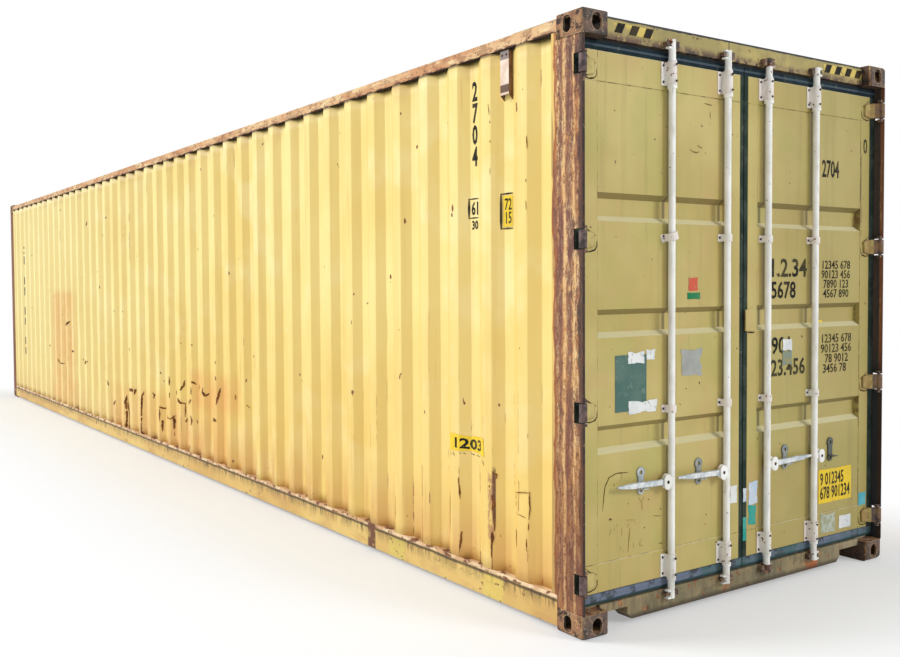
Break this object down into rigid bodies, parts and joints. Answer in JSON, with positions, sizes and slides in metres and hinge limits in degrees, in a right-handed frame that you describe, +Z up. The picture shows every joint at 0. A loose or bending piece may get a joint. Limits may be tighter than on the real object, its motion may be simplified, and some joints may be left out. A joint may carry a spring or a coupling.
{
  "type": "shipping container",
  "caption": "Forty-foot high-cube freight container with corrugated walls, hinged cargo doors, locking bars and hollow corner castings.",
  "frame": {"origin": "on the ground plane under the lower castings, below the middle of the box", "axes": "+X along the length towards the doors, +Y across towards the right-hand wall as seen when facing the doors, +Z up"},
  "size_m": [12.192, 2.438, 2.896],
  "materials": {
    "wall_paint": "sun-faded yellow paint with rust runs",
    "door_paint": "dull yellow paint with scratches",
    "roof_paint": "faded yellow paint",
    "frame_steel": "rust over dull yellow paint",
    "casting_steel": "dark rust",
    "underframe_paint": "black wax coat",
    "bare_steel": "rusty steel",
    "bar_paint": "off-white paint",
    "galvanised_steel": "dull zinc",
    "gasket_rubber": "weathered blue-grey rubber",
    "floor_plywood": "worn plywood"
  },
  "bodies": {
    "container": {"castings_door_top": "casting_steel", "castings_door_bottom": "casting_steel", "castings_front_top": "casting_steel", "castings_front_bottom": "casting_steel", "door_sill": "frame_steel", "door_header": "frame_steel", "door_posts": "frame_steel", "hinge_pins": "bare_steel", "lock_keepers": "bare_steel", "front_posts": "frame_steel", "front_sill": "frame_steel", "front_header": "frame_steel", "front_wall": "wall_paint", "side_wall_left": "wall_paint", "side_wall_right": "wall_paint", "top_rails": "frame_steel", "bottom_rails": "wall_paint", "roof": "roof_paint", "roof_corner_plates": "roof_paint", "cross_members": "underframe_paint", "tunnel_plate": "underframe_paint", "tunnel_sides": "underframe_paint", "tunnel_bows": "underframe_paint", "floor": "floor_plywood", "vents": "wall_paint"},
    "door_left": {"door_left_frame": "door_paint", "door_left_panel": "door_paint", "door_left_gasket": "gasket_rubber", "door_left_hinges": "door_paint", "door_left_brackets": "bar_paint", "door_left_catches": "galvanised_steel"},
    "door_right": {"door_right_frame": "door_paint", "door_right_panel": "door_paint", "door_right_gasket": "gasket_rubber", "door_right_hinges": "door_paint", "door_right_brackets": "bar_paint", "door_right_catches": "galvanised_steel", "cover_plate": "door_paint"},
    "bar_left_outer": {"bar_left_outer": "bar_paint"},
    "bar_left_inner": {"bar_left_inner": "bar_paint"},
    "bar_right_inner": {"bar_right_inner": "bar_paint"},
    "bar_right_outer": {"bar_right_outer": "bar_paint"},
    "handle_left_outer": {"handle_left_outer": "galvanised_steel"},
    "handle_left_inner": {"handle_left_inner": "galvanised_steel"},
    "handle_right_inner": {"handle_right_inner": "galvanised_steel"}
  },
  "joints": [
    {"name": "door_left_swing", "type": "hinge", "parent": "container", "child": "door_left", "pos_m": [6.077, -1.2, 1.448], "axis": [0, 0, -1], "range_deg": [0, 265]},
    {"name": "door_right_swing", "type": "hinge", "parent": "container", "child": "door_right", "pos_m": [6.077, 1.2, 1.448], "axis": [0, 0, 1], "range_deg": [0, 265]},
    {"name": "bar_left_outer_turn", "type": "hinge", "parent": "door_left", "child": "bar_left_outer", "pos_m": [6.062, -0.588, 1.448], "axis": [0, 0, -1], "range_deg": [-110, 0]},
    {"name": "bar_left_inner_turn", "type": "hinge", "parent": "door_left", "child": "bar_left_inner", "pos_m": [6.062, -0.167, 1.448], "axis": [0, 0, -1], "range_deg": [-110, 0]},
    {"name": "bar_right_inner_turn", "type": "hinge", "parent": "door_right", "child": "bar_right_inner", "pos_m": [6.062, 0.167, 1.448], "axis": [0, 0, 1], "range_deg": [-110, 0]},
    {"name": "bar_right_outer_turn", "type": "hinge", "parent": "door_right", "child": "bar_right_outer", "pos_m": [6.062, 0.588, 1.448], "axis": [0, 0, 1], "range_deg": [-110, 0]},
    {"name": "handle_left_outer_lift", "type": "hinge", "parent": "bar_left_outer", "child": "handle_left_outer", "pos_m": [6.069, -0.633, 0.671], "axis": [1, 0, 0], "range_deg": [-35, 0]},
    {"name": "handle_left_inner_lift", "type": "hinge", "parent": "bar_left_inner", "child": "handle_left_inner", "pos_m": [6.069, -0.212, 0.671], "axis": [1, 0, 0], "range_deg": [-35, 0]},
    {"name": "handle_right_inner_lift", "type": "hinge", "parent": "bar_right_inner", "child": "handle_right_inner", "pos_m": [6.069, 0.212, 0.671], "axis": [-1, 0, 0], "range_deg": [-35, 0]}
  ]
}
